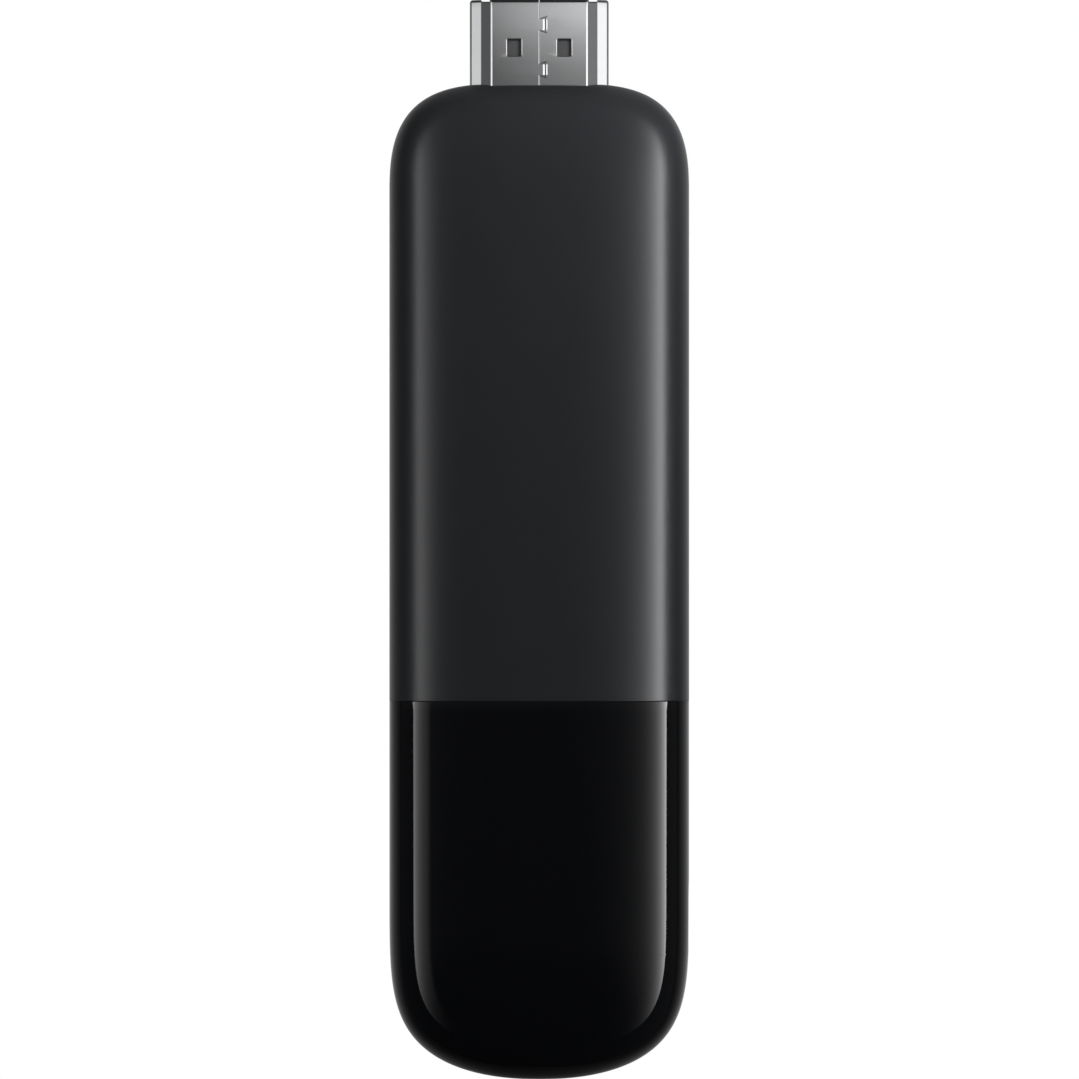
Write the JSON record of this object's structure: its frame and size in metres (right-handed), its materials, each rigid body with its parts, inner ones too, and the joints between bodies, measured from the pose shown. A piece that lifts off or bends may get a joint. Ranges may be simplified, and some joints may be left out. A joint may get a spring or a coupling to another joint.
{
  "type": "streaming media player",
  "caption": "Slim rounded stick with a matte front, a gloss end, a metal video plug at one end and a power socket in its right side.",
  "frame": {"origin": "under the middle of the whole length, plug included, on the surface that the flat back rests on", "axes": "+Z out of the front face, +Y along the length towards the plug, +X towards the side with the power socket"},
  "size_m": [0.03, 0.108, 0.014],
  "materials": {
    "matte_housing": "fine satin grain",
    "gloss_housing": "high gloss",
    "plug_steel": "satin nickel plate",
    "insulator": "moulded",
    "gold_contact": "gold plate",
    "port_steel": "tin plate",
    "board": "solder mask",
    "chip_resin": "moulded resin",
    "shield_tin": "tin plate",
    "ferrite": "sintered",
    "capacitor_body": "moulded resin",
    "antenna_brass": "tin over brass",
    "thermal_pad": "soft silicone",
    "spreader_metal": "mill finish"
  },
  "bodies": {
    "root": {"front_cover": "matte_housing", "end_cover": "gloss_housing", "rear_cover": "matte_housing", "plug_shell": "plug_steel", "plug_insulator": "insulator", "plug_contacts_front": "gold_contact", "plug_contacts_rear": "gold_contact", "port_shell": "port_steel", "port_tongue": "insulator", "port_contacts": "gold_contact", "main_board": "board", "processor_chip": "chip_resin", "memory_chips": "chip_resin", "flash_chip": "chip_resin", "power_chip": "chip_resin", "wireless_module": "shield_tin", "main_crystal": "shield_tin", "wireless_crystal": "shield_tin", "power_inductors": "ferrite", "large_capacitors": "capacitor_body", "small_capacitors": "capacitor_body", "surge_arrays": "chip_resin", "antenna_left": "antenna_brass", "antenna_right": "antenna_brass", "front_shield_frame": "shield_tin", "front_shield_lid": "shield_tin", "rear_shield_frame": "shield_tin", "rear_shield_lid": "shield_tin", "processor_pad": "thermal_pad", "memory_pads": "thermal_pad", "front_thermal_pad": "thermal_pad", "rear_thermal_pad": "thermal_pad", "front_heat_spreader": "spreader_metal", "rear_heat_spreader": "spreader_metal"}
  },
  "joints": []
}
